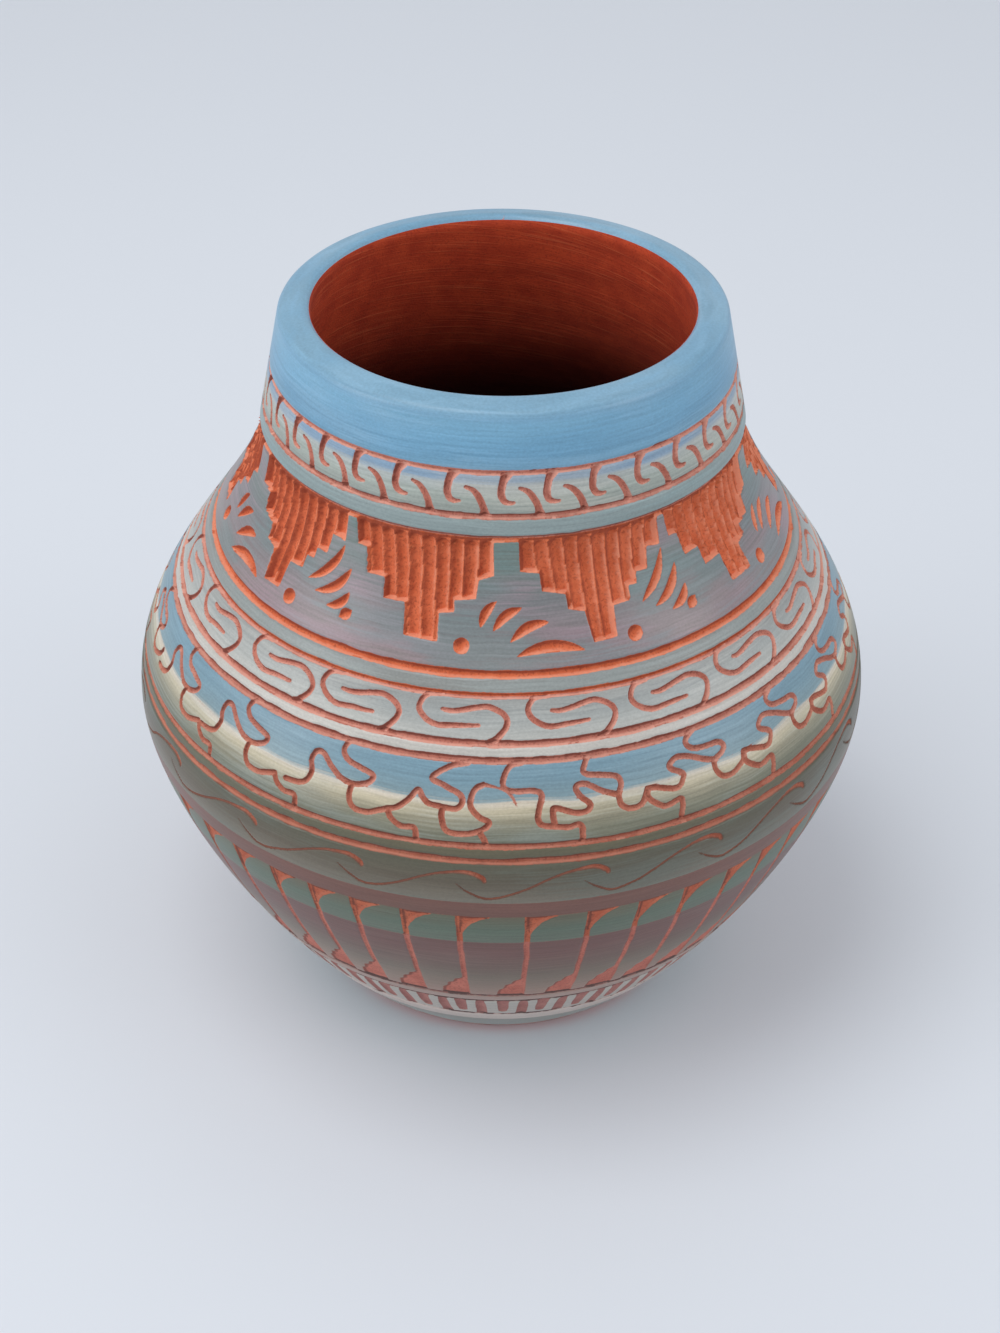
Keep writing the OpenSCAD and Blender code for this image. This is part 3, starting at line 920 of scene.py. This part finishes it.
# sky and cream, with one cloud line over both: each cloud in degrees from the place where its lines meet
cloudHalf = 0.52
clouds = {
    "left": {"turns": [-60, -42, -22.7], "lines": [
        [(1.6, -0.2), (-1.3, 0), (-2.4, 1.8), (-1.5, 3.3), (0.9, 4.1), (3.1, 4.8), (2.8, 6), (1.3, 6.8),
         (0, 7)],
        [(0, 7), (-1.8, 6.6), (-3.8, 5.3), (-5.7, 3.5), (-7, 3.6), (-7.5, 5.2), (-7, 7), (-7.6, 8.8),
         (-9, 9.7), (-11.2, 9.9)],
        [(0, 7), (-0.2, 9.2), (0.7, 10.8), (2.7, 11.1), (4.6, 10.4), (6, 9.8)],
        [(6, 9.8), (6.7, 11.2), (8.2, 12.2), (10.2, 12.2), (10.6, 14.6)],
    ]},
    "right": {"turns": [34.4 + 17.7 * k for k in range(15)], "lines": [
        [(-2, 0), (-3.9, 1.1), (-4.1, 2.2), (-3, 3.2), (-0.8, 3.6), (1.4, 3.9), (2.3, 4.9), (1.6, 5.9),
         (0, 6.4)],
        [(0, 6.4), (-1.4, 5.7), (-3.2, 4.7), (-5, 3.9), (-6.4, 3.65), (-7.7, 4.5), (-7.5, 5.3), (-5.9, 6.6),
         (-6.1, 7.8), (-7.3, 8.65), (-10.5, 7.6), (-12, 7.4)],
        [(-12, 7.4), (-12.1, 8.65), (-11.4, 9.9), (-9.5, 11.15), (-7, 10.7), (-6.8, 11.9), (-7.2, 13.4),
         (-7.3, 14.8)],
        [(0, 6.4), (0, 8.2), (0.9, 9.7), (2.5, 10.1), (4.2, 9.5), (5.5, 8.65), (6, 7.6)],
    ]},
    # where the maker's line came round to its start
    "join": {"turns": [0], "lines": [
        [(-16.7, 9.8), (-15.2, 9.2), (-13.6, 7.6), (-12.4, 5.8), (-11.6, 6.8), (-10.6, 7.8), (-8.5, 8.2)],
        [(-5, 0.5), (-7.5, 1.2), (-10, 2.8), (-10.3, 3.8), (-8.3, 4.7), (-5.9, 5.9), (-5.6, 7.3),
         (-6.6, 8.3), (-8.5, 8.2)],
        [(-8.5, 8.2), (-8.7, 9.9), (-7.7, 12.2), (-4.8, 12.4), (-2.6, 11.6), (-1.6, 10.3), (-3.1, 9.4),
         (-4.2, 7.9), (-4.2, 6), (-3.6, 4.6), (-2.4, 4)],
        [(-2.8, 12.4), (-2.2, 13.5), (-2, 14.6)],
        [(3.2, 0.2), (1.7, 0.6), (0.8, 1.9), (0.4, 4), (1.4, 4.9), (4.8, 5), (6.1, 5.8), (5.7, 8.1),
         (5.5, 9.8), (6.1, 10.9), (8, 11.3)],
        [(8, 11.3), (9.9, 11.5), (11.4, 11.2), (12, 12.1), (11.8, 14.6)],
        [(17.6, 7.3), (15.4, 6.3), (12.9, 4.7), (11.4, 4.9), (11.9, 6.4), (13.5, 8.1), (12.8, 9.2),
         (10.9, 9.2), (8, 8.1), (7.7, 9.2), (8, 11.2)],
        [(13.6, 0.2), (12.7, 2.3), (13.3, 3.2), (15.7, 3.7), (17.8, 4.4), (18.3, 5.7), (17.8, 7.4),
         (18.1, 9.2), (19.4, 10.1), (21.2, 9.7), (22.3, 7.6)],
    ]},
}
cloudMarks = {
    "degree": degreeOf("sky_coat", "cream_coat"), "wander": 0.6, "seed": 9,
    "top": lengthAt(levels["sky_coat"]),
    "strokes": [([(middle + turn, down) for turn, down in line], cloudHalf)
                for cloud in clouds.values() for middle in cloud["turns"] for line in cloud["lines"]]
    + [([(-2.4, 4), (-0.3, 4.4), (1.4, 5.4), (2.4, 7.5)], [0.4, 0.2, 0.3, 0.12])],
}
cloudLook = {
    "stops": heightStops("cream_coat", (0, 104, 104, 88), (0.25, 118, 118, 100), (0.55, 148, 142, 120),
                         (0.8, 190, 180, 154), (0.95, 204, 194, 178))
    + heightStops("sky_coat", (0.05, 122, 146, 154), (0.5, 112, 142, 156), (1, 116, 148, 164)),
    "tints": [(0.22, 134, 152, 158)], "streak": 0.64, "sway": 1.8, "feather": 1.8, "clay": "dusky",
}
creamLook = {**cloudLook, "clay": "ruddy"}
dressCoat("skyBand", "sky_coat", "skyBlue", cloudLook, 0.22, cloudMarks)
dressCoat("creamBand", "cream_coat", "cream", creamLook, 0.22, cloudMarks)

dressCoat("sageLine", "sage_line_coat", "sageLine", {
    "colours": [(92, 88, 70), (96, 90, 70)], "tints": [(0.3, 82, 88, 70)], "clay": "ruddy"}, 0.3)

# fine scrolls
scrollMarks = {
    "units": 20, "first": -6.0, "drift": 0.3, "wander": 0.6, "seed": 21,
    "strokes": [
        ([(0, 4.5), (2, 6.2), (4.5, 7.4), (8.5, 6.25), (13, 3.75), (16.5, 2.5), (19.5, 2.15), (21.3, 2.9),
          (21.75, 3.6)],
         [0.12, 0.22, 0.28, 0.25, 0.24, 0.3, 0.46, 0.52, 0.42]),
    ],
}
scrollLook = {
    "colours": [(116, 110, 98), (92, 84, 70), (84, 84, 68)],
    "tints": [(0.5, 92, 102, 94)], "clay": "faint",
}
dressCoat("scrollBand", "scroll_coat", "scrollSage", scrollLook, 0.27, scrollMarks)

dressCoat("mauveLine", "mauve_line_coat", "lineMauve", {
    "colours": [(106, 70, 60), (112, 74, 64)], "tints": [(0.3, 102, 76, 64)], "clay": "hatched"}, 0.3)

# feather panels: a cut line, a curved corner at its head and a worn patch at its foot
featherLines = [-36, -29, -22, -14.3, -6, 4.2, 13.2, 21, 28.5]
featherCorner = [(0, 0), (4.7, 0.1), (3.2, 0.9), (1.9, 2.2), (0.95, 4.0), (0.4, 5.6), (0, 6.5)]
featherWear = [(0, 22.8), (-0.9, 24.2), (-1.7, 24.6), (-2.2, 26.2), (-3.2, 26.8), (-3.6, 28.6),
               (-4.4, 29.4), (-4.9, 33.6), (0, 33.6)]
featherMarks = {
    "units": 5, "degree": degreeOf("crown_coat", "feather_coat"), "drift": 0.2, "wander": 0.6, "seed": 13,
    "top": lengthAt(levels["crown_coat"]), "patchDepth": 0.2, "strokeDepth": 0.5,
    "strokes": [([(turn, 0), (turn, 11), (turn, 22), (turn, 33.4)], 0.48) for turn in featherLines],
    "patches": [[(line + turn, down) for turn, down in outline]
                for line in featherLines for outline in (featherCorner, featherWear)],
}
crownLook = {
    "colours": [(88, 98, 84), (82, 98, 82), (94, 88, 68)],
    "tints": [(0.35, 78, 100, 84)], "clay": "hatched",
}
featherLook = {
    "colours": [(154, 122, 110), (130, 110, 96), (106, 94, 80), (98, 74, 64), (100, 64, 58), (98, 62, 56)],
    "tints": [(0.3, 112, 90, 82)], "sway": 2.0, "clay": "scraped", "soft": 0.14,
}
dressCoat("crownBand", "crown_coat", "crownGreen", crownLook, 0.28, featherMarks)
dressCoat("featherBand", "feather_coat", "featherMauve", featherLook, 0.33, featherMarks)

dressCoat("footLine", "foot_line_coat", "footLinePale", {
    "colours": [(162, 138, 128), (158, 132, 122)], "tints": [(0.3, 170, 148, 138)], "clay": "dull"}, 0.2)

# ticks that hang and rise in turn
tickMarks = {
    "units": 44, "first": 0.6, "drift": 0.25, "wander": 0.4, "seed": 17, "strokeDepth": 0.3,
    "strokes": [
        ([(0, 0), (0, 2.5), (0, 5.2), (0, 7.6)], [1.1, 1.0, 0.98, 0.8]),
        ([(4.1, 10.4), (4.1, 7.5), (4.1, 4.2), (4.1, 1.1)], [1.1, 1.0, 0.98, 0.8]),
    ],
}
tickLook = {
    "colours": [(174, 166, 158), (172, 168, 160)],
    "tints": [(0.3, 186, 180, 172)], "clay": "dull",
}
dressCoat("tickBand", "tick_coat", "tickPale", tickLook, 0.25, tickMarks)

dressCoat("whiteRing", "white_ring_coat", "ringWhite", {
    "colours": [(196, 182, 174), (200, 184, 176)], "tints": [(0.3, 206, 192, 184)], "clay": "dull"}, 0.3)

dressCoat("footBand", "foot_coat", "footGrey", {
    "colours": [(162, 174, 170), (138, 138, 132)], "tints": [(0.3, 146, 148, 140)], "clay": "dull"}, 0.5)

# clay sections: what shows of them is the scraped inside
clayWall = {"cell": 0.9, "scrape": 0.35, "skin": 0.05, "thick": 3.5, "degree": math.radians(50)}
neckThick = 1.9
joints = {
    "neck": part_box("neck_wall")[0][2] / mm, "shoulder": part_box("shoulder_wall")[0][2] / mm, "base": 10.5,
}
# the inside's floor colour and the levels where it takes over are painted shade
insideLook = {
    "light": srgb(196, 70, 32), "dark": srgb(178, 56, 24), "deep": srgb(142, 38, 14),
    "dustAndHighlight": srgb(226, 116, 72), "floor": srgb(40, 10, 5), "paintedShadeLevels": (130.0, 90.0), "soleEnds": (2.0, 6.0),
    "paintedShadeShare": 0.94, "scratch": 60, "scratchRise": 3200, "slant": 0.14, "scratchShows": (0.54, 0.74),
    "scratchShare": 0.5, "smear": (20, 20, 420), "smearShows": (0.5, 0.3), "smearShare": 0.3,
    "gritRelief": 0.4, "relief": 0.0003,
}
insideClay = bareClay("insideClay", insideLook)


def claySection(name, node, start, end, thick):
    carve(name, node, insideClay, {**clayWall, "from": start, "to": end, "thick": thick})


neckLow = lengthInside(joints["neck"])
shoulderLow = lengthInside(joints["shoulder"])
claySection("neckClay", "neck_wall", paintEnd, neckLow, neckThick)
claySection("shoulderClay", "shoulder_wall", neckLow, shoulderLow, clayWall["thick"])
claySection("lowerClay", "lower_wall", shoulderLow, lengthInside(joints["base"]), clayWall["thick"])

# base: floor, foot edge and underside in one turned piece
base = {"sides": 256, "floorEdge": 30.0, "rim": (36.0, 10.4), "behind": (37.4, 8.6), "back": (34.0, 2.9),
        "lip": (35.25, 1.45), "bevel": (34.3, 0.55), "rest": 33.0, "cell": 0.8, "crease": 35}


def turnBase():
    floorZ = wall["floorZ"]
    outline = [(0, floorZ), (base["floorEdge"], floorZ), base["rim"], base["behind"], base["back"],
               base["lip"], base["bevel"], (base["rest"], 0), (0, 0)]
    shape = bmesh.new()
    places = []
    for first, last in zip(outline, outline[1:]):
        steps = max(int(math.dist(first, last) / base["cell"]), 1)
        places += [np.add(first, np.subtract(last, first) * k / steps) for k in range(steps)]
    places.append(outline[-1])
    verts = [shape.verts.new((r * mm, 0, z * mm)) for r, z in places]
    edges = [shape.edges.new(pair) for pair in zip(verts, verts[1:])]
    bmesh.ops.spin(shape, geom=verts + edges, cent=(0, 0, 0), axis=(0, 0, 1), angle=math.tau,
                   steps=base["sides"])
    bmesh.ops.remove_doubles(shape, verts=shape.verts, dist=weld)
    bmesh.ops.recalc_face_normals(shape, faces=shape.faces)
    mesh = bpy.data.meshes.new("baseClay")
    shape.to_mesh(mesh)
    shape.free()
    for face in mesh.polygons:
        face.use_smooth = True
    mesh.set_sharp_from_angle(angle=math.radians(base["crease"]))
    made = bpy.data.objects.new("baseClay", mesh)
    scene.collection.objects.link(made)
    mesh.materials.append(insideClay)
    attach(made, "root")
    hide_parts("base")
    print("base turned:", len(mesh.polygons), "faces")


turnBase()
for helper in list(helpers.objects):
    bpy.data.objects.remove(helper)
bpy.data.collections.remove(helpers)

# pale floor, and soft light from above and both sides: each lamp's place, watts and spread in degrees
studio = {
    "floor": srgb(216, 221, 228), "floorRough": 0.6, "floorSize": 6.0,
    "world": srgb(244, 246, 250), "worldStrength": 0.76, "aim": (0, 0, 0.07), "lampSize": 0.7,
    "lamps": {"top": ((-0.3, -0.2, 1.1), 3.9, 180), "left": ((-1.0, -0.4, 0.42), 0.45, 60),
              "right": ((1.0, -0.4, 0.42), 0.3, 60)},
}


def makeStudio():
    size = studio["floorSize"]
    mesh = bpy.data.meshes.new("floor")
    corners = [(-size, -size, 0), (size, -size, 0), (size, size, 0), (-size, size, 0)]
    mesh.from_pydata(corners, [], [(0, 1, 2, 3)])
    floor = bpy.data.objects.new("floor", mesh)
    scene.collection.objects.link(floor)
    material, s = newMaterial("floorPale")
    shader = s.node("ShaderNodeBsdfPrincipled", sockets={
        "Base Color": studio["floor"], "Roughness": studio["floorRough"]})
    close(s, shader)
    mesh.materials.append(material)
    world = bpy.data.worlds.new("studio")
    world.use_nodes = True
    background = world.node_tree.nodes["Background"].inputs
    background["Color"].default_value = studio["world"]
    background["Strength"].default_value = studio["worldStrength"]
    scene.world = world
    for name, (place, power, spread) in studio["lamps"].items():
        lamp = bpy.data.lights.new(name + "Lamp", "AREA")
        lamp.shape = "DISK"
        lamp.size = studio["lampSize"]
        lamp.energy = power
        lamp.spread = math.radians(spread)
        holder = bpy.data.objects.new(name + "Lamp", lamp)
        aim = Vector(studio["aim"]) - Vector(place)
        turn = aim.to_track_quat("-Z", "Y").to_matrix().to_4x4()
        holder.matrix_world = Matrix.Translation(place) @ turn
        scene.collection.objects.link(holder)


makeStudio()
scene.view_settings.view_transform = "Standard"
print("studio lit")
